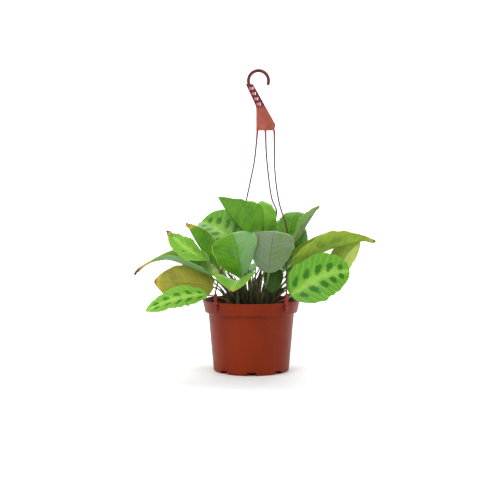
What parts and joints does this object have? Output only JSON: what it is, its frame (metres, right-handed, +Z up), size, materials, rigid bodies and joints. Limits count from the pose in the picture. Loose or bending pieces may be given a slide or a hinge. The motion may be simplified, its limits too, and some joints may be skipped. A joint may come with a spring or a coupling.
{
  "type": "potted prayer plant",
  "caption": "Prayer plant with broad patterned leaves in a moulded plastic nursery pot, with a clip-on hanger of cords meeting at a flat hook.",
  "frame": {"origin": "centre of the pot's base, on the surface it stands on", "axes": "+Z up along the pot's axis, +Y to the back of the plant, +X to the viewer's right"},
  "size_m": [0.3652, 0.2227, 0.4641],
  "materials": {
    "pot_plastic": "satin",
    "hanger_plastic": "satin",
    "potting_soil": "rough",
    "leaf_fresh": "satin",
    "leaf_shade": "satin",
    "leaf_silver": "satin",
    "leaf_yellowing": "satin",
    "leaf_olive": "satin",
    "stalk": "satin"
  },
  "bodies": {
    "root": {"pot": "pot_plastic", "potting_soil": "potting_soil", "hanger_hook": "hanger_plastic", "hanger_strand_left": "hanger_plastic", "hanger_strand_back": "hanger_plastic", "hanger_strand_right": "hanger_plastic", "leaf_front_left": "leaf_fresh", "leaf_front_middle": "leaf_silver", "leaf_top_left": "leaf_fresh", "leaf_top_middle": "leaf_fresh", "leaf_back_left": "leaf_shade", "leaf_left_high": "leaf_fresh", "leaf_left_long": "leaf_shade", "leaf_left_thin": "leaf_yellowing", "leaf_left_low": "leaf_olive", "leaf_left_droop": "leaf_fresh", "leaf_front_low": "leaf_fresh", "leaf_inner_low": "leaf_shade", "leaf_right_low": "leaf_fresh", "leaf_right_long": "leaf_yellowing", "leaf_right_small": "leaf_yellowing", "leaf_right_mid": "leaf_shade", "leaf_right_rolled": "leaf_silver", "leaf_right_top": "leaf_fresh", "leaf_rear_middle": "leaf_fresh", "leaf_rear_right": "leaf_silver", "leaf_rear_left": "leaf_fresh", "leaf_right_rear": "leaf_fresh", "leaf_rear_low_right": "leaf_shade", "leaf_rear_low_middle": "leaf_fresh", "leaf_rear_low_left": "leaf_yellowing", "leaf_left_rear": "leaf_fresh", "leaf_right_inner": "leaf_shade", "stalk_front_left": "stalk", "stalk_front_middle": "stalk", "stalk_top_left": "stalk", "stalk_top_middle": "stalk", "stalk_back_left": "stalk", "stalk_left_high": "stalk", "stalk_left_long": "stalk", "stalk_left_thin": "stalk", "stalk_left_low": "stalk", "stalk_left_droop": "stalk", "stalk_front_low": "stalk", "stalk_inner_low": "stalk", "stalk_right_low": "stalk", "stalk_right_long": "stalk", "stalk_right_small": "stalk", "stalk_right_mid": "stalk", "stalk_right_rolled": "stalk", "stalk_right_top": "stalk", "stalk_rear_middle": "stalk", "stalk_rear_right": "stalk", "stalk_rear_left": "stalk", "stalk_right_rear": "stalk", "stalk_rear_low_right": "stalk", "stalk_rear_low_middle": "stalk", "stalk_rear_low_left": "stalk", "stalk_left_rear": "stalk", "stalk_right_inner": "stalk"}
  },
  "joints": []
}
